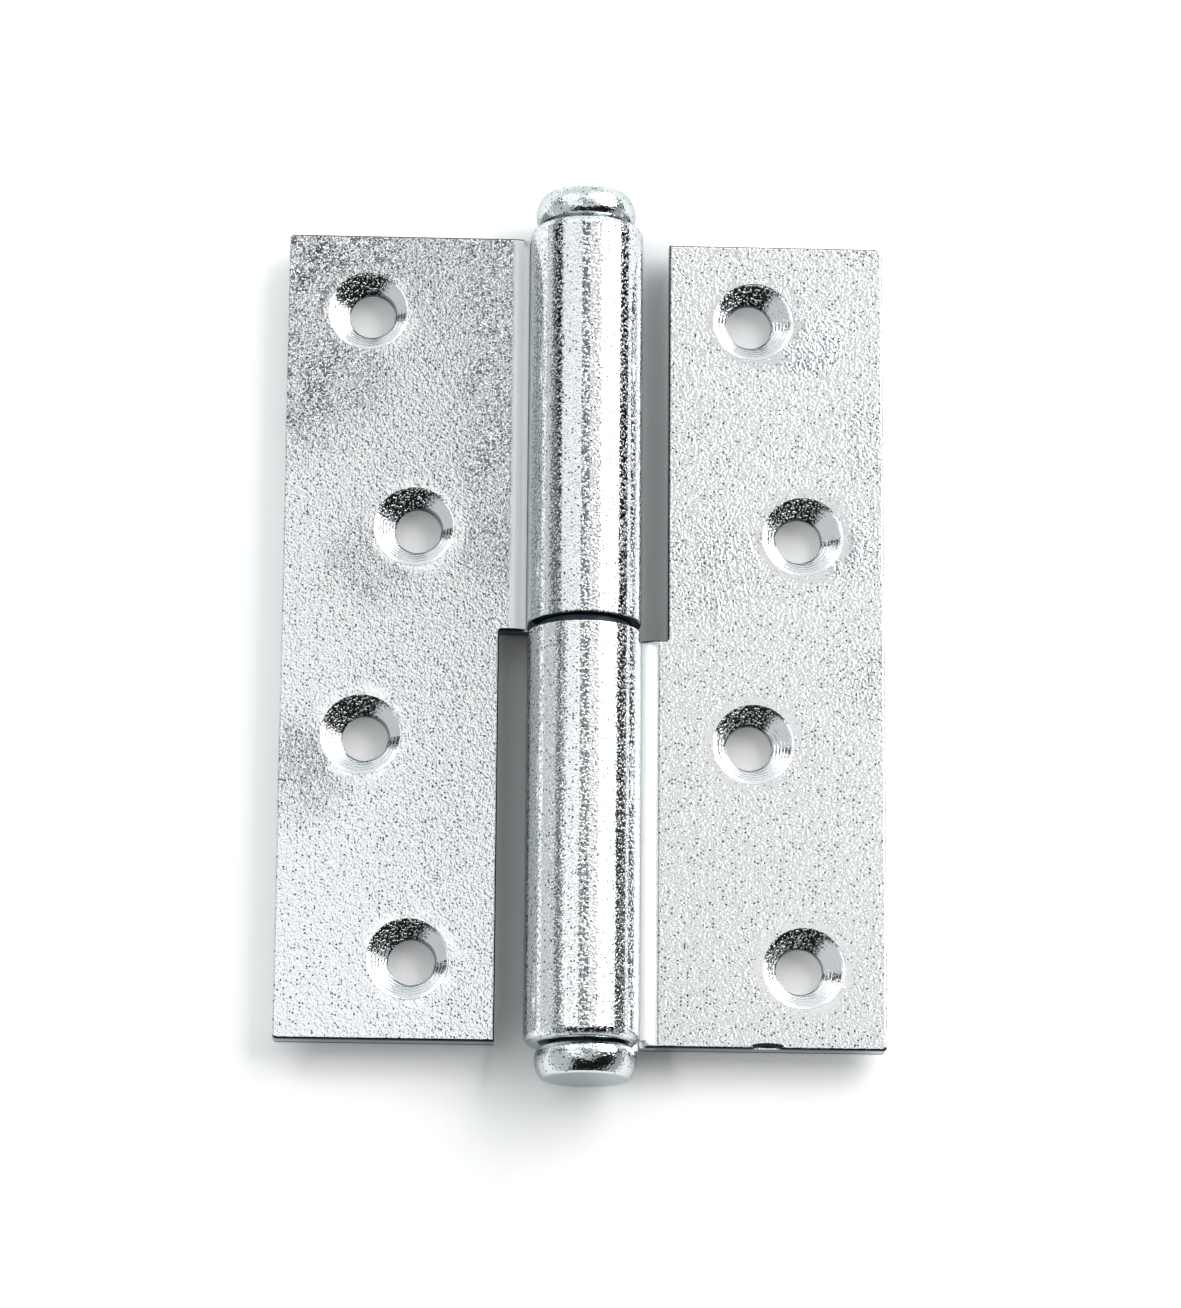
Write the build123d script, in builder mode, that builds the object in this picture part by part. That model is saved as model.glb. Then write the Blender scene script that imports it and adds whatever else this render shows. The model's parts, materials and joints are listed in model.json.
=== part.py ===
from build123d import *
import os
from math import asin, atan2, cos, degrees, radians, sin, sqrt, tan

os.makedirs("parts", exist_ok=True)

# Lift-off hinge in millimetres, lying open on its back with the countersunk faces up.
# +X runs from the pin towards the frame leaf, +Y along the pin in the direction the
# door leaf lifts off, +Z out of the countersunk faces. Z = 0 is the lowest line of the
# knuckles, the pin axis is at X = 0, and Y = 0 is the middle of the knuckle washer.

# Leaves
leaf_height = 110.0
leaf_reach = 40.0
plate_thickness = 3.0
front_below_axis = 2.6
leaf_offset = 0.5
outer_corner_radius = 0.6
front_edge_round = 0.3

# Knuckles, rolled from the plate
pin_diameter = 9.0
running_clearance = 0.05
knuckle_gap = 1.1
knuckle_overhang = 0.45
knuckle_end_round = 1.4
knuckle_start_round = 0.25
bend_start = 9.7
root_fall = 0.83
seam_gap = 0.15

# Notch beside the mating knuckle
notch_reach = 11.2
notch_corner_radius = 0.35

# Screw holes
hole_diameter = 6.1
countersink_diameter = 10.8
countersink_angle = 90.0
hole_eccentricity = 0.55
sink_tip_margin = 0.06
outer_column = 29.2
inner_column = 22.6
outer_row = 44.3
inner_row = 14.3

# Wear of the frame leaf: one knocked-off corner and a nick in the bottom edge
worn_corner_x = 0.95
worn_corner_y = 0.75
nick_reach = 24.4
nick_width = 4.1
nick_height = 0.35
nick_depth = 0.4

# Button heads of the pin and the cap
head_diameter = 13.4
head_height = 4.0
head_base_inset = 0.55
head_base_length = 1.4
head_end_inset = 1.0
head_end_round = 0.5
neck_inset = 1.8
neck_height = 0.4
pin_head_offset = 0.6
cap_head_offset = 0.2

# Pin, cap shank and washer
pin_engagement = 44.0
pin_tip_chamfer = 1.4
cap_shank_length = 6.0
cap_shank_chamfer = 0.6
washer_diameter = 12.4
washer_bore_clearance = 0.1
washer_chamfer = 0.15

# Derived sizes
bore_radius = pin_diameter / 2 + running_clearance
knuckle_radius = bore_radius + plate_thickness
knuckle_start = knuckle_gap / 2
leaf_shift = leaf_offset / 2
leaf_top = leaf_height / 2 + leaf_shift
frame_leaf_top = leaf_height / 2 - leaf_shift
knuckle_end = leaf_top + knuckle_overhang
front_level = -front_below_axis
front_plane = Plane.XY.offset(knuckle_radius + front_level)

# The bend leaves the flat plate at bend_start and meets the ring tangentially
mid_level = front_level - plate_thickness / 2
mid_radius = bore_radius + plate_thickness / 2
bend_radius = (bend_start**2 + mid_level**2 - mid_radius**2) / (2 * (mid_radius + mid_level))
bend_centre = mid_level - bend_radius
bend_angle = asin(bend_start / (bend_radius + mid_radius))
bend_back_radius = bend_radius - plate_thickness / 2

# The plate's front rounds off from bend_start down to the knuckle's side, and the rolled end,
# which comes straight down beside the bore, stops just above it
root_level = front_level - root_fall
rolled_end_level = root_level + seam_gap
rolled_end_bore_x = -sqrt(bore_radius**2 - rolled_end_level**2)

# Screw holes as (distance from the pin, height above the leaf's middle). Each countersink's cone
# goes on down inside the hole, so that it meets the hole's wall all round.
screw_spots = [
    (outer_column, outer_row),
    (inner_column, inner_row),
    (outer_column, -inner_row),
    (inner_column, -outer_row),
]
sink_spots = [(-reach, height + leaf_shift) for reach, height in screw_spots]
hole_spots = [(hole_eccentricity - reach, height + leaf_shift) for reach, height in screw_spots]
sink_tip_radius = hole_diameter / 2 - hole_eccentricity - sink_tip_margin
sink_depth = (countersink_diameter / 2 - sink_tip_radius) / tan(radians(countersink_angle / 2))
nick_radius = (nick_width**2 / 4 + nick_height**2) / (2 * nick_height)

# The pin is pressed into the lower bore and runs in the upper one, and the cap is pressed into
# the upper bore
pin_radius = pin_diameter / 2
pin_tip = knuckle_start + pin_engagement
pin_axis = Axis((0, 0, knuckle_radius), (0, 1, 0))
head_radius = head_diameter / 2
neck_radius = head_radius - neck_inset


def ring_point(radius, angle):
    """Point of a section on a circle about the pin, the angle from straight down towards -X."""
    return (-radius * sin(angle), -radius * cos(angle))


def back_point(angle):
    """Point of a section on the back of the bend, the angle from straight up towards +X."""
    return (-bend_start + bend_back_radius * sin(angle), bend_centre + bend_back_radius * cos(angle))


def section_plane(y):
    """Plane across the pin at the given height, with local x along X and local y along Z."""
    return Plane(origin=(0, y, knuckle_radius), x_dir=(1, 0, 0), z_dir=(0, -1, 0))


# Half-plane through the pin axis and the rolled end, with local x outwards and local y along Y
rolled_end_angle = degrees(atan2(-rolled_end_level, knuckle_radius))
rolled_end_plane = Plane(
    origin=(0, 0, knuckle_radius),
    x_dir=(-cos(radians(rolled_end_angle)), 0, -sin(radians(rolled_end_angle))),
    z_dir=(sin(radians(rolled_end_angle)), 0, -cos(radians(rolled_end_angle))),
)

def head_lines(centre, way):
    """Outline of a button head and its neck, from the knuckle's end outwards, about x = centre."""
    base = way * (knuckle_end + neck_height)
    widest = base + way * head_base_length
    end = base + way * head_height
    side = centre + head_radius
    Polyline(
        (side - head_end_inset, end),
        (centre, end),
        (centre, way * knuckle_end),
        (centre + neck_radius, way * knuckle_end),
        (centre + neck_radius, base),
        (side - head_base_inset, base),
    )
    TangentArc((side, widest), (side - head_base_inset, base), tangent=(0, -way))
    TangentArc((side, widest), (side - head_end_inset, end), tangent=(0, way))


# Door leaf
with BuildPart() as door_leaf:
    # Flat plate beside the notch, over the whole height
    with BuildSketch(front_plane):
        with Locations((-(leaf_reach + notch_reach) / 2, leaf_shift)):
            Rectangle(leaf_reach - notch_reach, leaf_height)
    extrude(amount=-plate_thickness)
    fillet(door_leaf.edges().filter_by(Axis.Z).group_by(Axis.X)[0], outer_corner_radius)

    # Strip over the knuckle's length: the plate's inner edge and the bend
    with BuildSketch(section_plane(knuckle_start)):
        with BuildLine():
            Polyline(
                back_point(0),
                (-notch_reach, front_level - plate_thickness),
                (-notch_reach, front_level),
                (-bend_start, front_level),
            )
            TangentArc((-bend_start, front_level), (-knuckle_radius, root_level), tangent=(1, 0))
            Polyline(
                (-knuckle_radius, root_level),
                ring_point(bore_radius, bend_angle),
                ring_point(knuckle_radius, bend_angle),
            )
            ThreePointArc(
                ring_point(knuckle_radius, bend_angle),
                back_point(bend_angle / 2),
                back_point(0),
            )
        make_face()
    extrude(amount=knuckle_start - leaf_top)
    notch_corner = (-notch_reach, knuckle_start, knuckle_radius)
    fillet(door_leaf.edges().filter_by(Axis.Z).sort_by_distance(notch_corner)[0], notch_corner_radius)

    # Rounded front edge all round the plate and on along the sides of the bend
    front_rim = door_leaf.faces().filter_by(Axis.Z).sort_by(Axis.Z)[-1].outer_wire().edges()
    fillet(
        front_rim.filter_by_position(Axis.X, -leaf_reach, -bend_start, (True, False)),
        front_edge_round,
    )

    # Ring under the pin, up the far side, over the top and straight down to the plate
    with BuildSketch(section_plane(knuckle_start)):
        with BuildLine():
            ThreePointArc(
                ring_point(bore_radius, bend_angle),
                (bore_radius, 0),
                (rolled_end_bore_x, rolled_end_level),
            )
            Polyline(
                (rolled_end_bore_x, rolled_end_level),
                (-knuckle_radius, rolled_end_level),
                (-knuckle_radius, 0),
            )
            ThreePointArc(
                (-knuckle_radius, 0),
                (knuckle_radius, 0),
                ring_point(knuckle_radius, bend_angle),
            )
            Line(ring_point(knuckle_radius, bend_angle), ring_point(bore_radius, bend_angle))
        make_face()
    extrude(amount=knuckle_start - knuckle_end)
    start_edges = door_leaf.edges().filter_by_position(Axis.Y, knuckle_start, knuckle_start)
    start_crest = (0, knuckle_start, 2 * knuckle_radius)
    fillet(start_edges.filter_by(GeomType.CIRCLE).sort_by_distance(start_crest)[0], knuckle_start_round)

    # Rounded outer end of the knuckle, swept from the rolled end round to the bend
    with BuildSketch(rolled_end_plane):
        with BuildLine():
            Polyline(
                (knuckle_radius - knuckle_end_round, knuckle_end),
                (knuckle_radius + knuckle_end_round, knuckle_end),
                (knuckle_radius + knuckle_end_round, knuckle_end - knuckle_end_round),
                (knuckle_radius, knuckle_end - knuckle_end_round),
            )
            RadiusArc(
                (knuckle_radius, knuckle_end - knuckle_end_round),
                (knuckle_radius - knuckle_end_round, knuckle_end),
                -knuckle_end_round,
            )
        make_face()
    end_round_arc = 270 + rolled_end_angle + degrees(bend_angle)
    revolve(axis=pin_axis, revolution_arc=end_round_arc, mode=Mode.SUBTRACT)

    # Countersinks, and the screw holes a little nearer the pin
    with BuildSketch(front_plane):
        with Locations(*sink_spots):
            Circle(countersink_diameter / 2)
    extrude(amount=-sink_depth, taper=countersink_angle / 2, mode=Mode.SUBTRACT)
    with BuildSketch(front_plane):
        with Locations(*hole_spots):
            Circle(hole_diameter / 2)
    extrude(amount=-plate_thickness, mode=Mode.SUBTRACT)

door_leaf.part.label = "door_leaf"
export_step(door_leaf.part, "parts/door_leaf.step")

# Frame leaf: the same stamping turned half a turn, with its worn corner and nick
with BuildPart() as frame_leaf:
    add(door_leaf.part, rotation=(0, 0, 180))
    with BuildSketch(front_plane):
        with BuildLine():
            Polyline(
                (leaf_reach - worn_corner_x, frame_leaf_top),
                (leaf_reach, frame_leaf_top),
                (leaf_reach, frame_leaf_top - worn_corner_y),
                close=True,
            )
        make_face()
    extrude(amount=-plate_thickness, mode=Mode.SUBTRACT)
    with BuildSketch(front_plane):
        with Locations((nick_reach, nick_height - leaf_top - nick_radius)):
            Circle(nick_radius)
    extrude(amount=-nick_depth, mode=Mode.SUBTRACT)

frame_leaf.part.label = "frame_leaf"
export_step(frame_leaf.part, "parts/frame_leaf.step")

# Hinge pin: pressed length, running length with a chamfered tip, and the button head
with BuildPart() as hinge_pin:
    with BuildSketch(Plane.XY.offset(knuckle_radius)):
        with BuildLine():
            Polyline(
                (0, -knuckle_end),
                (bore_radius, -knuckle_end),
                (bore_radius, -knuckle_start),
                (pin_radius, -knuckle_start),
                (pin_radius, pin_tip - pin_tip_chamfer),
                (pin_radius - pin_tip_chamfer / 2, pin_tip),
                (0, pin_tip),
                close=True,
            )
        make_face()
    revolve(axis=pin_axis)
    with BuildSketch(Plane.XY.offset(knuckle_radius)):
        with BuildLine():
            head_lines(pin_head_offset, -1)
        make_face()
    revolve(axis=Axis((pin_head_offset, 0, knuckle_radius), (0, 1, 0)))
    fillet(hinge_pin.faces().sort_by(Axis.Y)[0].edges(), head_end_round)

hinge_pin.part.label = "hinge_pin"
export_step(hinge_pin.part, "parts/hinge_pin.step")

# Washer between the knuckles
with BuildPart() as washer:
    with BuildSketch(section_plane(-knuckle_start)):
        Circle(washer_diameter / 2)
        Circle(pin_radius + washer_bore_clearance, mode=Mode.SUBTRACT)
    extrude(amount=-knuckle_gap)
    chamfer(washer.edges().filter_by(GeomType.CIRCLE).group_by(SortBy.RADIUS)[-1], washer_chamfer)

washer.part.label = "washer"
export_step(washer.part, "parts/washer.step")

# Top cap: button head with a short shank in the upper bore
with BuildPart() as top_cap:
    with BuildSketch(section_plane(knuckle_end - cap_shank_length)):
        Circle(bore_radius)
    extrude(amount=-cap_shank_length)
    chamfer(top_cap.edges().sort_by(Axis.Y)[0], cap_shank_chamfer)
    with BuildSketch(Plane.XY.offset(knuckle_radius)):
        with BuildLine():
            head_lines(-cap_head_offset, 1)
        make_face()
    revolve(axis=Axis((-cap_head_offset, 0, knuckle_radius), (0, 1, 0)))
    fillet(top_cap.faces().sort_by(Axis.Y)[-1].edges(), head_end_round)

top_cap.part.label = "top_cap"
export_step(top_cap.part, "parts/top_cap.step")
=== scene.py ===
import json
from math import copysign, cos, pi, radians, sin, tan

import bpy
from mathutils import Matrix, Vector


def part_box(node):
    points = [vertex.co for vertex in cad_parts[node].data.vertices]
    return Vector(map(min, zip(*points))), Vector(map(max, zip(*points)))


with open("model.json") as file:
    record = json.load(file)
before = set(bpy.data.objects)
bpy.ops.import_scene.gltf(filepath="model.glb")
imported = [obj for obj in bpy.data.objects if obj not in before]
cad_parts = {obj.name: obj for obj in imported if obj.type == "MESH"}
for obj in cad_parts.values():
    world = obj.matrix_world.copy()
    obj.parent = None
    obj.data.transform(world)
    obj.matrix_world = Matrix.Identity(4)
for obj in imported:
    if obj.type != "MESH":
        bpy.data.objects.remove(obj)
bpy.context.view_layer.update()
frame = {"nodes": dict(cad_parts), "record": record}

MM = 0.001

# Camera, fitted to the photograph
photo_height = 1308
focal_length_px = 5223.0
sensor_size = 36.0
camera_distance = 688.6 * MM
camera_tilt = radians(14.74)
camera_turn = radians(-2.21)
camera_roll = radians(0.44)
aim_x = 0.84 * MM
aim_y = -3.28 * MM
clip_start = 0.01
clip_end = 20.0

# Soft boxes: each stands at angles from straight up, towards +X (across) and towards +Y (along)
lamp_distance = 1.2
lamps = {
    "lamp_right": {
        "across": radians(19), "along": radians(25), "roll": radians(25),
        "width": 0.58, "length": 1.4, "level": 0.67,
    },
    "lamp_left": {
        "across": radians(-32), "along": radians(24), "roll": radians(25),
        "width": 0.75, "length": 1.5, "level": 0.99,
    },
    "lamp_side": {
        "across": radians(50), "along": radians(42), "roll": radians(-8),
        "width": 0.84, "length": 1.2, "level": 4.3,
    },
}

# Room around the part: how bright its walls and ceiling are
room_tint = (0.93, 0.98, 1.0, 1.0)
room_level = 0.01
wall_level = 0.62
back_wall_level = 0.9
front_wall_level = 0.45
ceiling_level = 0.25
viewer_level = 0.75

# Where they begin and end, on a direction of length 1 (a slanted top mixes upward and north)
room_diagonal = (-0.707, 0.707, 0)
room_split = (-0.66, -0.46)
low_wall_top = (0.12, 0.34)
right_corner = (0.80, 0.92)
back_wall_side = (0.42, 0.62)
left_wall_side = (-0.60, -0.42)
left_wall_top = (1.80, 1.96)
left_wall_slant = 5.0
front_wall_top = (0.27, 0.42)
ceiling_side = (0.89, 0.95)
ceiling_split = (-0.12, 0.06)

# Sizes of the part: boxes of its nodes, and sizes as in its own source
pin_low, pin_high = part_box("hinge_pin")
pin_height = (pin_low.z + pin_high.z) / 2
pin_end = -pin_low.y
leaf_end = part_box("frame_leaf")[1].x
knuckle_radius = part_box("frame_leaf")[1].z / 2
knuckle_end = 55.7 * MM
leaf_front = 4.95 * MM
leaf_back = 1.95 * MM
bend_start = 9.7 * MM
notch_reach = 11.2 * MM
sink_radius = 5.4 * MM
sink_offset = 0.55 * MM
hole_radius = 3.05 * MM
neck_low = 55.2 * MM
neck_high = 56.1 * MM

# Floor, with a painted shadow in the slots, a painted dark reflection far to the right and a glow weaker
# under the leaves
floor_reach = 6.0
floor_white = 1.0
floor_slot_painted_shadow = 0.62
floor_bounce = 0.3
floor_glow = 0.21
floor_glow_beside = 0.4
floor_dark_reflection = (0.18, 0.26)
floor_slot_side = (bend_start, bend_start + 4 * MM)
floor_slot_end = (pin_end - 12 * MM, pin_end + 3 * MM)
floor_leaf_side = (leaf_end - 6 * MM, leaf_end - 2 * MM)

# Colours of the plating, and of its painted shade and painted reflections
zinc_bright = (0.86, 0.875, 0.885, 1.0)
zinc_mottle = (0.30, 0.32, 0.34, 1.0)
# The pit colour also colours the painted dark reflection bands on the knuckle and the painted shade at the
# holes' lips
zinc_marks_and_painted_shade = (0.06, 0.08, 0.09, 1.0)
zinc_cut = (0.70, 0.75, 0.75, 1.0)
# Painted shade on the notch and slot side faces
notch_painted_shade = (0.18, 0.25, 0.28, 1.0)
# Painted shade on the knuckle's end rims
rim_painted_shade = (0.55, 0.61, 0.61, 1.0)
# Duller plating with painted shade on the bore walls
bore_dull_and_shaded = (0.25, 0.28, 0.29, 1.0)
zinc_shade = (0.02, 0.03, 0.035, 1.0)
zinc_turned = (0.72, 0.76, 0.76, 1.0)
zinc_face = (0.74, 0.79, 0.77, 1.0)
zinc_glancing = (0.62, 0.66, 0.67, 1.0)
# Painted shade and dark reflection on the steel washer, given as a dark non-metal colour
washer_painted_shade = (0.03, 0.05, 0.075, 1.0)

# Bands across which a mask turns from 0 to 1, or from 1 to 0
edge_width = 0.45 * MM
knuckle_edge = (knuckle_radius + 0.1 * MM, knuckle_radius + 0.5 * MM)
flat_edge = (bend_start - 0.2 * MM, bend_start + 0.6 * MM)
slot_start = (bend_start - 0.5 * MM, bend_start - 0.2 * MM)
slot_stop = (notch_reach + 0.5 * MM, notch_reach + 0.8 * MM)
front_edge = (leaf_front - 2 * edge_width, leaf_front - edge_width)
back_edge = (leaf_back + edge_width, leaf_back + 2 * edge_width)
middle_edge = (2.5 * MM, 3.5 * MM)
rim_edge = (knuckle_end - 0.6 * MM, knuckle_end - 0.3 * MM)
sink_edge = (sink_radius - 0.1 * MM, sink_radius + 0.1 * MM)
halo_edge = (sink_radius + 0.3 * MM, sink_radius + 2.0 * MM)
lip_edge = (hole_radius + 0.15 * MM, hole_radius + 0.3 * MM)
face_edge = (pin_end - 1.2 * MM, pin_end - 0.6 * MM)
neck_start = (neck_low - 0.1 * MM, neck_low + 0.1 * MM)
neck_stop = (neck_high - 0.1 * MM, neck_high + 0.1 * MM)
dent_edge = (0.85, 1.0)

# The same across a part of the surface's normal
back_facing = (-0.5, -0.3)
cut_facing = (0.85, 0.97)
side_facing = (0.2, 0.5)
end_facing = (0.15, 0.4)
bore_facing = (0.3, 0.5)
face_facing = (0.9, 0.98)
burr_facing = (0.1, 0.5)
burr_side = (0.57, -0.82, 0)

# The same across a random pattern from 0 to 1
cloud_step = (0.35, 0.62)
halo_step = (0.35, 0.6)
fleck_step = (0.48, 0.76)
burr_step = (0.56, 0.74)
mottle_step = (0.42, 0.52)
stain_step = (0.40, 0.50)
line_step = (0.60, 0.66)
pit_step = (0.22, 0.42)

# Sizes of the random patterns' spots
grain_size = 0.34 * MM
burr_size = 0.9 * grain_size
mottle_size = 0.26 * MM
stain_size = 1.4 * mottle_size
pit_size = 0.42 * MM
halo_size = 3 * MM
cloud_size = 5 * MM

# Relief: the grain's depth, and heights as shares of it
grain_depth = 0.09 * MM
turned_depth = 0.6 * grain_depth
grain_flat = 0.68
grain_soiled = 1.2
grain_rolled = 0.55
sink_calm = 0.4
halo_calm = 0.7
ring_spacing = 0.42 * MM
ring_height = 0.07
burr_height = 0.9

# Slopes by which the countersinks look flatter than they are: all over, and more at the rim
sink_flattening = 0.27
rim_flattening = 0.25
rim_width = 0.45 * MM

# Strengths of the marks, and how the soil changes them
lengthwise_reach = 45 * MM
soil_lift = 0.55
patch_core = 0.3
cloud_range = (0.35, 1.25)
halo_strength = 0.8
mottle_clean = 0.26
mottle_soiled = 0.62
stain_strength = 0.8
pits_clean = 0.22
pits_soiled = 0.5
pits_turned = 0.2
sink_smooth = 0.75
lip_strength = 0.7
notch_strength = 0.8

# Painted dark reflection bands on the knuckle, speckled: shares of half a band's width, how much denser the
# specks are there, and how dark
line_core = 0.2
line_spread = 1.25
line_crowding = 0.19
line_fringe = 0.25
line_strength = 0.78

# Roughness
leaf_roughness = 0.08
plate_roughness = 0.05
groove_roughness = 0.27
turned_roughness = 0.13
washer_roughness = 0.35

# Each leaf's own look. Lists of marks are given in millimetres and degrees:
# soil as x, y, reach and strength, painted dark reflection bands as angle from +Z and half width, painted
# shade of dents as x, y and half sizes.
# Droop tips the face towards +X, by a share that changes from the bend to the outer edge.
leaf_looks = {
    "door": {
        "clean": (0.84, 0.855, 0.865, 1.0),
        "wear": (0.77, 0.95),
        "droop": radians(-6.7),
        "droop_share": (1.0, 1.0),
        "groove_lean": -0.22,
        "painted_reflection_bands": [(-33.8, 7.6), (40.0, 6.0)],
        "soil": [
            (-40, 58, 27, 1.0),
            (-26, 60, 10, 0.5),
            (-17, 60, 10, 0.5),
            (-10, 56, 12, 0.9),
            (-10, 45, 10, 0.9),
            (-10, 35, 9, 0.9),
            (-10, 25, 9, 0.8),
            (-10, 13, 9, 0.5),
            (-40, 37, 16, 0.9),
            (-29, 9, 8, 0.25),
            (-38, -19, 10, 0.35),
        ],
        "dents": [],
    },
    "frame": {
        "clean": (0.94, 0.95, 0.955, 1.0),
        "wear": (0.7161, 0.8835),
        "droop": radians(7.0),
        "droop_share": (1.10, 0.92),
        "groove_lean": -0.36,
        "painted_reflection_bands": [(-25.5, 6.5), (37.5, 9.0)],
        "soil": [
            (40, 58, 9, 0.5),
            (30, 41, 6, 0.45),
            (36, 12, 6, 0.35),
            (41, 28, 9, 0.3),
            (41, -6, 9, 0.25),
            (17, 10, 11, 0.2),
        ],
        "dents": [(24.4, -54.85, 2.3, 0.42, 0.6)],
    },
}


class Shader:
    """Short calls that add nodes to a material's or the world's node tree."""

    def __init__(self, owner):
        owner.use_nodes = True
        self.tree = owner.node_tree
        self.tree.nodes.clear()

    def node(self, kind, inputs=None, **settings):
        """A node of that kind. Inputs are given by name or number, as values or sockets."""
        made = self.tree.nodes.new("ShaderNode" + kind)
        for key, value in settings.items():
            setattr(made, key, value)
        for key, value in (inputs or {}).items():
            if isinstance(value, bpy.types.NodeSocket):
                self.tree.links.new(value, made.inputs[key])
            else:
                made.inputs[key].default_value = value
        return made

    def position(self):
        """Place on the piece in metres, in the frame's axes."""
        return self.node("TexCoord").outputs["Object"]

    def normal(self):
        """Direction in which the surface faces, in the frame's axes at rest."""
        return self.node("TexCoord").outputs["Normal"]

    def vector(self, x=0.0, y=0.0, z=0.0):
        """Vector from its three parts."""
        return self.node("CombineXYZ", {0: x, 1: y, 2: z}).outputs[0]

    def parts(self, vector):
        """The three parts of a vector."""
        return self.node("SeparateXYZ", {0: vector}).outputs

    def vector_math(self, operation, first, second=(0, 0, 0), result=0):
        """One step of arithmetic on vectors."""
        return self.node("VectorMath", {0: first, 1: second}, operation=operation).outputs[result]

    def distance(self, first, second):
        """Distance between two places."""
        return self.vector_math("DISTANCE", first, second, "Value")

    def dot(self, first, second):
        """How far one vector goes along another."""
        return self.vector_math("DOT_PRODUCT", first, second, "Value")

    def math(self, operation, first, second=0.0):
        """One step of arithmetic."""
        return self.node("Math", {0: first, 1: second}, operation=operation).outputs[0]

    def chain(self, operation, values):
        """The same step over all values, from left to right."""
        result = values[0]
        for value in values[1:]:
            result = self.math(operation, result, value)
        return result

    def plus(self, *values):
        """Sum of the values."""
        return self.chain("ADD", values)

    def times(self, *values):
        """Product of the values."""
        return self.chain("MULTIPLY", values)

    def most(self, *values):
        """Largest of the values."""
        return self.chain("MAXIMUM", values)

    def least(self, *values):
        """Smallest of the values."""
        return self.chain("MINIMUM", values)

    def minus(self, first, second):
        """The first value less the second."""
        return self.math("SUBTRACT", first, second)

    def absolute(self, value):
        """The value without its sign."""
        return self.math("ABSOLUTE", value)

    def outside(self, mask):
        """1 where the mask is 0, and 0 where it is 1."""
        return self.minus(1.0, mask)

    def ramp(self, value, start, end, low=0.0, high=1.0):
        """Smooth step: low up to start, high from end on."""
        values = {"Value": value, "From Min": start, "From Max": end, "To Min": low, "To Max": high}
        return self.node("MapRange", values, interpolation_type="SMOOTHSTEP").outputs["Result"]

    def fade(self, value, start, end, high=1.0):
        """Smooth step down: high up to start, 0 from end on."""
        return self.ramp(value, start, end, high, 0.0)

    def noise(self, vector, size, detail=2.0, roughness=0.5):
        """Cloudy pattern from 0 to 1, whose spots are about that many metres across."""
        values = {"Vector": vector, "Scale": 1 / size, "Detail": detail, "Roughness": roughness}
        return self.node("TexNoise", values).outputs["Fac"]

    def pits(self, place, share):
        """Small round spots, in that share of the cells of a random pattern."""
        cell = self.node("TexVoronoi", {"Vector": place, "Scale": 1 / pit_size}, feature="F1").outputs
        drawn = self.math("LESS_THAN", self.parts(cell["Color"])[0], share)
        return self.times(self.fade(cell["Distance"], *pit_step), drawn)

    def mix(self, factor, first, second):
        """Blend of two colours."""
        return self.node("Mix", {0: factor, 6: first, 7: second}, data_type="RGBA").outputs[2]

    def bump(self, height, distance, under=None):
        """Normal bent by a relief, over the normal that lies under it."""
        values = {"Height": height, "Distance": distance, "Strength": 1.0}
        if under is not None:
            values["Normal"] = under
        return self.node("Bump", values).outputs["Normal"]

    def metal(self, tone, roughness, normal, metallic=1.0):
        """Finish the material as plated metal."""
        surface = self.node("BsdfPrincipled", {
            "Base Color": tone,
            "Metallic": metallic,
            "Roughness": roughness,
            "Specular Tint": zinc_glancing,
            "Normal": normal,
        })
        self.node("OutputMaterial", {"Surface": surface.outputs[0]})


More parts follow.
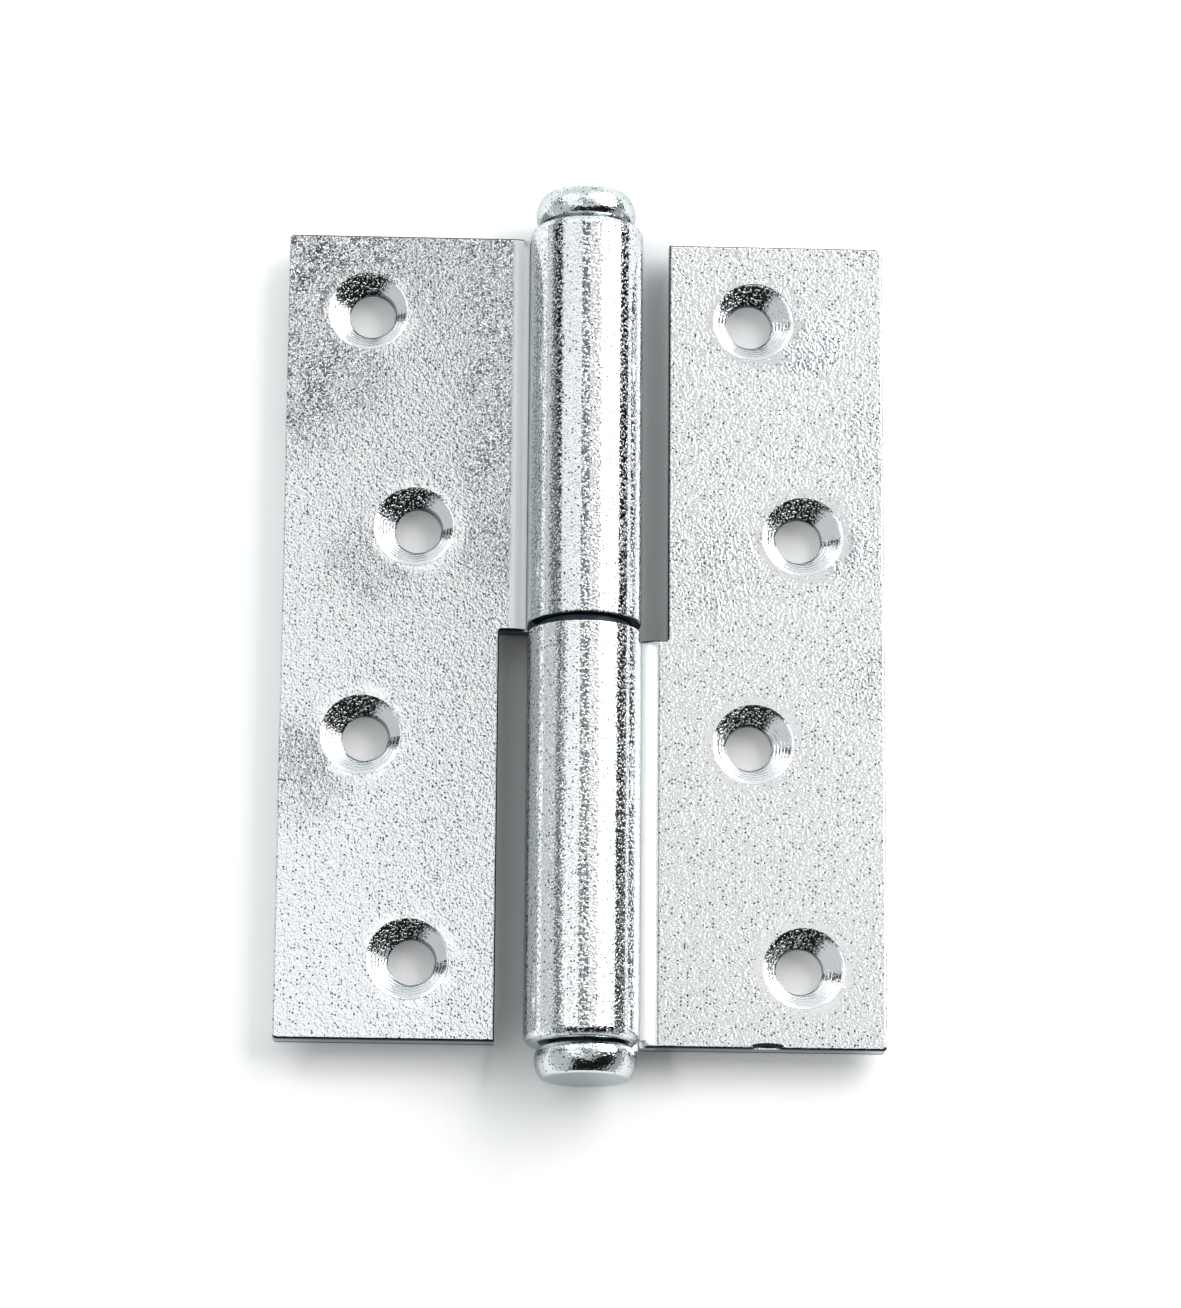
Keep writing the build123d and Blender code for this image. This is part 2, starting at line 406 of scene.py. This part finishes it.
class LeafShader(Shader):
    """Bright zinc plating of one leaf. A mask is 1 on what its name says and 0 elsewhere."""

    def __init__(self, material, side):
        super().__init__(material)
        self.look = leaf_looks[side]
        self.place = self.position()
        self.x, self.y, self.z = self.parts(self.place)
        self.level = self.vector(self.x, self.y)
        self.rise = self.minus(self.z, pin_height)
        self.aside = self.absolute(self.x)
        self.along = self.absolute(self.y)
        self.upright = self.normal()
        self.facing = [self.absolute(part) for part in self.parts(self.upright)]
        self.mark_faces()
        self.mark_edges()
        self.mark_countersinks(hole_spots(side))
        self.mark_soil()

    def mark_faces(self):
        """Rolled knuckle, plate, flat face, and the groove between knuckle and flat face."""
        around = self.math("SQRT", self.plus(self.times(self.x, self.x), self.times(self.rise, self.rise)))
        self.rolled = self.fade(around, *knuckle_edge)
        self.plate = self.outside(self.rolled)
        self.behind = self.fade(self.parts(self.upright)[2], *back_facing)
        self.flat = self.most(self.ramp(self.aside, *flat_edge), self.times(self.behind, self.plate))
        self.groove = self.times(self.plate, self.outside(self.flat))

    def mark_edges(self):
        """Cut faces of the plate and the notch, painted shade on the notch and slot sides, dark outlines of
        painted shade, and the rims of the knuckle, which get painted shade.
        """
        past_bend = self.ramp(self.aside, *slot_start)
        slot = self.times(self.fade(self.aside, *slot_stop), past_bend)
        side_cut = self.times(self.ramp(self.facing[0], *cut_facing), past_bend)
        end_cut = self.ramp(self.facing[1], *cut_facing)
        self.cut = self.most(side_cut, end_cut)
        middle = self.fade(self.along, *middle_edge)
        # The notch face and the slot sides get painted shade
        self.notch = self.most(self.times(middle, end_cut), self.times(side_cut, slot, notch_strength))
        # Dark outlines of painted shade along the cut faces' front and back edges
        outline = self.times(self.ramp(self.facing[0], *side_facing), slot)
        outline = self.most(outline, self.ramp(self.facing[1], *end_facing))
        beside_face = self.most(self.ramp(self.z, *front_edge), self.fade(self.z, *back_edge))
        self.edge = self.times(beside_face, self.plate, outline)
        # Knuckle end rims, which get painted shade
        self.end_rim = self.times(self.ramp(self.along, *rim_edge), self.rolled)

    def mark_countersinks(self, spots):
        """Countersinks, the walls and lips of their holes, which get painted shade, and a cloudy ring round
        each, left without mottle and pits as a painted highlight.
        """
        centres = [(x + copysign(sink_offset, x), y, 0) for x, y in spots]
        self.reach = self.least(*[self.distance(self.level, centre) for centre in centres])
        hole = self.least(*[self.distance(self.level, (x, y, 0)) for x, y in spots])
        self.sunk = self.times(self.fade(self.reach, *sink_edge), self.outside(self.behind))
        self.edge = self.times(self.edge, self.outside(self.sunk))
        # Bore walls and hole lips, which get painted shade; the bore walls also have duller plating
        self.bore = self.times(self.fade(self.facing[2], *bore_facing), self.sunk)
        self.lip = self.times(self.fade(hole, *lip_edge, lip_strength), self.sunk)
        # Halo ring left without mottle and pits, lighter as a painted highlight, and with calmer grain
        ring = self.fade(self.reach, *halo_edge, halo_strength)
        self.halo = self.times(ring, self.ramp(self.noise(self.place, halo_size), *halo_step))

    def mark_soil(self):
        """Soiled patches with cloudy edges, on the flat face and clear of the countersinks."""
        patches = self.most(*[self.patch(*patch) for patch in self.look["soil"]])
        cloud = self.noise(self.place, cloud_size, detail=4.0, roughness=0.65)
        patches = self.times(patches, self.ramp(cloud, *cloud_step, *cloud_range))
        clean = self.most(self.sunk, self.rolled, self.outside(self.flat), self.halo)
        self.soil = self.times(patches, self.outside(clean))

    def patch(self, x, y, reach, strength):
        """Soft round patch."""
        gap = self.distance(self.level, (x * MM, y * MM, 0))
        return self.fade(gap, patch_core * reach * MM, reach * MM, strength)

    def dent(self, x, y, half_x, half_y, half_z):
        """Painted shade of a dent in the front face."""
        off = self.vector_math("SUBTRACT", self.place, (x * MM, y * MM, leaf_front))
        off = self.vector_math("DIVIDE", off, (half_x * MM, half_y * MM, half_z * MM))
        return self.fade(self.vector_math("LENGTH", off, result="Value"), *dent_edge)

    def painted_reflection_bands(self):
        """Painted dark reflection bands along the knuckle, speckled."""
        turned = self.math("ARCTAN2", self.x, self.rise)
        bands = []
        for angle, half in self.look["painted_reflection_bands"]:
            off = self.absolute(self.minus(turned, radians(angle)))
            bands.append(self.fade(off, line_core * radians(half), line_spread * radians(half)))
        band = self.most(*bands)
        specks = self.plus(self.noise(self.place, mottle_size, detail=1.0), self.times(band, line_crowding))
        specks = self.times(self.ramp(specks, *line_step), self.ramp(band, 0.0, line_fringe))
        return self.times(specks, self.rolled, line_strength)

    def relief(self):
        """Height as a share of grain_depth: grain, turned rings, burrs and flatter countersinks."""
        wear = self.ramp(self.y, -lengthwise_reach, lengthwise_reach, *self.look["wear"])
        depth = self.plus(
            self.times(self.flat, grain_flat, wear),
            self.times(self.soil, grain_soiled),
            self.times(self.rolled, grain_rolled),
        )
        calm = self.most(self.times(self.sunk, sink_calm), self.times(self.halo, halo_calm))
        depth = self.times(depth, self.outside(calm), self.outside(self.most(self.cut, self.end_rim)))
        grain = self.noise(self.place, grain_size, detail=1.0)
        flecks = self.ramp(grain, *fleck_step)
        grain = self.plus(self.times(grain, self.plate), self.times(flecks, self.rolled))
        rings = self.math("SINE", self.times(self.reach, 2 * pi / ring_spacing))
        rough_side = self.ramp(self.dot(self.upright, burr_side), *burr_facing)
        burrs = self.ramp(self.noise(self.place, burr_size, detail=0.0), *burr_step)
        inward = self.most(self.minus(sink_radius, self.reach), 0.0)
        inward = self.times(inward, self.outside(self.behind))
        return self.plus(
            self.times(grain, depth),
            self.times(rings, self.sunk, ring_height),
            self.times(burrs, rough_side, self.sunk, burr_height),
            self.times(inward, sink_flattening / grain_depth),
            self.times(self.least(inward, rim_width), rim_flattening / grain_depth),
        )

    def leaning(self):
        """Normal of a face that droops a little, less so where it is soiled, and of a leaning groove."""
        hung = self.times(
            self.flat,
            self.outside(self.sunk),
            self.outside(self.times(self.soil, soil_lift)),
            self.ramp(self.aside, bend_start, leaf_end, *self.look["droop_share"]),
            tan(self.look["droop"]),
        )
        hung = self.plus(hung, self.times(self.groove, self.look["groove_lean"]))
        turn = {"vector_type": "VECTOR", "convert_from": "OBJECT", "convert_to": "WORLD"}
        lean = self.node("VectorTransform", {"Vector": self.vector(hung)}, **turn).outputs[0]
        upright = self.node("NewGeometry").outputs["Normal"]
        return self.vector_math("NORMALIZE", self.vector_math("ADD", upright, lean))

    def tone(self):
        """Colour: mottled zinc under stains, speckled painted reflection bands and pits, and then the cut
        faces and the places with painted shade.
        """
        grained = self.times(
            self.most(self.rolled, self.flat),
            self.outside(self.most(self.cut, self.halo)),
            self.outside(self.times(self.sunk, sink_smooth)),
        )
        mottle = self.fade(self.noise(self.place, mottle_size, detail=1.0), *mottle_step)
        mottling = self.plus(mottle_clean, self.times(self.soil, mottle_soiled))
        stain = self.fade(self.noise(self.place, stain_size, detail=1.0), *stain_step)
        pitting = self.plus(pits_clean, self.times(self.soil, pits_soiled))
        layers = [
            (self.times(mottle, mottling, grained), zinc_mottle),
            (self.times(stain, self.soil, stain_strength), zinc_marks_and_painted_shade),
            # Painted dark reflection bands along the knuckle
            (self.painted_reflection_bands(), zinc_marks_and_painted_shade),
            # Painted shade on the knuckle's end rims
            (self.end_rim, rim_painted_shade),
            (self.times(self.pits(self.place, pitting), grained), zinc_marks_and_painted_shade),
            (self.cut, zinc_cut),
            # Painted shade on the notch and slot sides
            (self.notch, notch_painted_shade),
            # Painted shade along the cut faces' edges
            (self.edge, zinc_shade),
        ]
        # Painted shade of dents
        layers += [(self.dent(*dent), zinc_shade) for dent in self.look["dents"]]
        # Painted shade in the holes: on the bore walls, which are also duller, and at the lips
        layers += [(self.bore, bore_dull_and_shaded), (self.lip, zinc_marks_and_painted_shade)]
        # Ground tone changes along the leaf, from zinc_bright at the top to the look's other colour at the
        # bottom
        tone = self.mix(self.fade(self.y, -lengthwise_reach, lengthwise_reach), zinc_bright, self.look["clean"])
        for mask, colour in layers:
            tone = self.mix(mask, tone, colour)
        return tone

    def roughness(self):
        """Smoothest on the knuckle, roughest in the groove."""
        groove = self.times(self.groove, groove_roughness)
        return self.plus(groove, self.times(self.plate, plate_roughness), leaf_roughness)


def hole_spots(side):
    """Centres of a leaf's screw holes, from the bolt patterns in the record."""
    spots = []
    for mount in frame["record"]["mounts"]:
        if mount["kind"] == "bolt_pattern" and mount["name"].startswith(side):
            x, y, _ = mount["pos_m"]
            half = mount["dims"]["spacing_y_mm"] * MM / 2
            spots += [(x, y - half), (x, y + half)]
    return spots


def leaf_zinc(name, side):
    """Zinc plating with a fine grain, soiled patches and duller cut faces, for the leaf on that side."""
    material = bpy.data.materials.new(name)
    sh = LeafShader(material, side)
    sh.metal(sh.tone(), sh.roughness(), sh.bump(sh.relief(), grain_depth, sh.leaning()))
    return material


def turned_zinc(name, colour, roughness, metallic=1.0, necked=False):
    """Zinc plating on turned or stamped steel, with painted shade on the neck under the head where it has
    one.
    """
    material = bpy.data.materials.new(name)
    sh = Shader(material)
    place = sh.position()
    along = sh.absolute(sh.parts(place)[1])
    facing = sh.absolute(sh.parts(sh.normal())[1])
    tone = sh.mix(sh.pits(place, pits_turned), colour, zinc_marks_and_painted_shade)
    end_face = sh.times(sh.ramp(facing, *face_facing), sh.ramp(along, *face_edge))
    tone = sh.mix(end_face, tone, zinc_face)
    if necked:
        # Painted shade in the neck under the head
        neck = sh.times(sh.ramp(along, *neck_start), sh.fade(along, *neck_stop))
        tone = sh.mix(neck, tone, zinc_shade)
    sh.metal(tone, roughness, sh.bump(sh.noise(place, grain_size, detail=1.0), turned_depth), metallic)
    return material


def grey(level):
    """Colour with that level in red, green and blue."""
    return (level, level, level, 1.0)


def floor_material():
    """White floor with a faint glow, so that it stays white beside the part and keeps its shadow.

    It throws back less light than it shows. It has a painted shadow and no glow in the slots beside the
    knuckles, a painted dark reflection far out on the right, and a glow that is weaker under the leaves.
    """
    material = bpy.data.materials.new("floor_white")
    sh = Shader(material)
    rays = sh.node("LightPath").outputs
    shown = sh.most(rays["Is Camera Ray"], rays["Is Glossy Ray"], rays["Is Transmission Ray"])
    x, y, _ = sh.parts(sh.position())
    # Painted dark reflection: glossy rays see the floor dark far out on the right
    dark = sh.times(sh.ramp(x, *floor_dark_reflection), rays["Is Glossy Ray"])
    # Painted shadow on the floor in the slots beside the knuckles, with no glow there
    beyond = sh.ramp(sh.absolute(y), *floor_slot_end)
    clear = sh.most(sh.ramp(sh.absolute(x), *floor_slot_side), beyond)
    shade = sh.mix(clear, grey(floor_slot_painted_shadow), grey(floor_white))
    shade = sh.mix(shown, grey(floor_bounce), shade)
    shade = sh.mix(dark, shade, zinc_shade)
    matt = sh.node("BsdfDiffuse", {"Color": shade})
    # Painted glow: full beyond the leaves, weaker under them, and none in the slots
    glowing = sh.most(sh.ramp(sh.absolute(x), *floor_leaf_side, floor_glow_beside, 1.0), beyond)
    strength = sh.times(glowing, clear, shown, sh.outside(dark), floor_glow)
    glow = sh.node("Emission", {"Strength": strength})
    both = sh.node("AddShader", {0: matt.outputs[0], 1: glow.outputs[0]})
    sh.node("OutputMaterial", {"Surface": both.outputs[0]})
    return material


def room():
    """World with low walls and a tall one behind, cut off along a diagonal and in the right corner.

    A left wall has a slanted top, a front wall fills the other side of the diagonal, and the ceiling
    is brighter on the viewer's side.
    """
    world = bpy.data.worlds.new("studio")
    sh = Shader(world)
    toward = sh.node("TexCoord").outputs["Generated"]
    east, north, upward = sh.parts(toward)
    aside = sh.dot(toward, room_diagonal)
    walls = sh.most(
        sh.fade(sh.absolute(upward), *low_wall_top, wall_level),
        sh.ramp(north, *back_wall_side, 0.0, back_wall_level),
    )
    walls = sh.times(walls, sh.ramp(aside, *room_split), sh.fade(east, *right_corner))
    slanted = sh.plus(upward, sh.times(north, left_wall_slant))
    left_wall = sh.times(sh.fade(slanted, *left_wall_top, wall_level), sh.fade(east, *left_wall_side))
    front_wall = sh.times(sh.fade(upward, *front_wall_top, front_wall_level), sh.fade(aside, *room_split))
    ceiling = sh.ramp(north, *ceiling_split, viewer_level, ceiling_level)
    ceiling = sh.times(ceiling, sh.ramp(upward, *ceiling_side))
    lit = sh.plus(sh.most(walls, left_wall, front_wall), ceiling, room_level)
    backdrop = sh.node("Background", {"Color": room_tint, "Strength": lit})
    sh.node("OutputWorld", {"Surface": backdrop.outputs[0]})
    return world


def link(name, data):
    """A new object of that name in the scene."""
    made = bpy.data.objects.new(name, data)
    bpy.context.scene.collection.objects.link(made)
    return made


def aim(direction, roll=0.0):
    """Rotation that looks along -direction, with +Y up in the picture, turned by roll."""
    back = direction.normalized()
    right = Vector((0, 1, 0)).cross(back).normalized()
    up = back.cross(right)
    turned_right = right * cos(roll) + up * sin(roll)
    turned_up = up * cos(roll) - right * sin(roll)
    return Matrix((turned_right, turned_up, back)).transposed().to_4x4()


def panel_lamp(name, across, along, roll, width, length, level):
    """Soft box aimed at the part. Its face is as bright as a white surface times level."""
    data = bpy.data.lights.new(name, "AREA")
    data.shape = "RECTANGLE"
    data.size = width
    data.size_y = length
    data.energy = level * pi * width * length
    made = link(name, data)
    direction = Vector((tan(across), tan(along), 1)).normalized()
    made.matrix_world = Matrix.Translation(direction * lamp_distance) @ aim(direction, roll)


# Finish of every piece
finishes = {
    "door_leaf": leaf_zinc("zinc_door_leaf", "door"),
    "frame_leaf": leaf_zinc("zinc_frame_leaf", "frame"),
    "hinge_pin": turned_zinc("zinc_pin", zinc_turned, turned_roughness, necked=True),
    "top_cap": turned_zinc("zinc_cap", zinc_turned, turned_roughness),
    # The steel washer gets a dark non-metal colour: painted shade and dark reflection
    "washer": turned_zinc("washer_steel", washer_painted_shade, washer_roughness, metallic=0.0),
}
for name, finish in finishes.items():
    frame["nodes"][name].material_slots[0].material = finish

# Floor
floor_mesh = bpy.data.meshes.new("floor")
corners = [(x * floor_reach, y * floor_reach, 0) for x, y in ((-1, -1), (1, -1), (1, 1), (-1, 1))]
floor_mesh.from_pydata(corners, [], [(0, 1, 2, 3)])
floor_mesh.materials.append(floor_material())
floor = link("floor", floor_mesh)

# Light
for name, lamp in lamps.items():
    panel_lamp(name, **lamp)
bpy.context.scene.world = room()

# Camera
view_back = Vector((
    sin(camera_turn) * cos(camera_tilt),
    -sin(camera_tilt),
    cos(camera_turn) * cos(camera_tilt),
))
camera_data = bpy.data.cameras.new("camera")
camera_data.sensor_width = sensor_size
camera_data.lens = focal_length_px / photo_height * sensor_size
camera_data.clip_start = clip_start
camera_data.clip_end = clip_end
camera = link("camera", camera_data)
camera_place = Vector((aim_x, aim_y, pin_height)) + view_back * camera_distance
camera.matrix_world = Matrix.Translation(camera_place) @ aim(view_back, camera_roll)
bpy.context.scene.camera = camera
bpy.context.scene.view_settings.view_transform = "Standard"
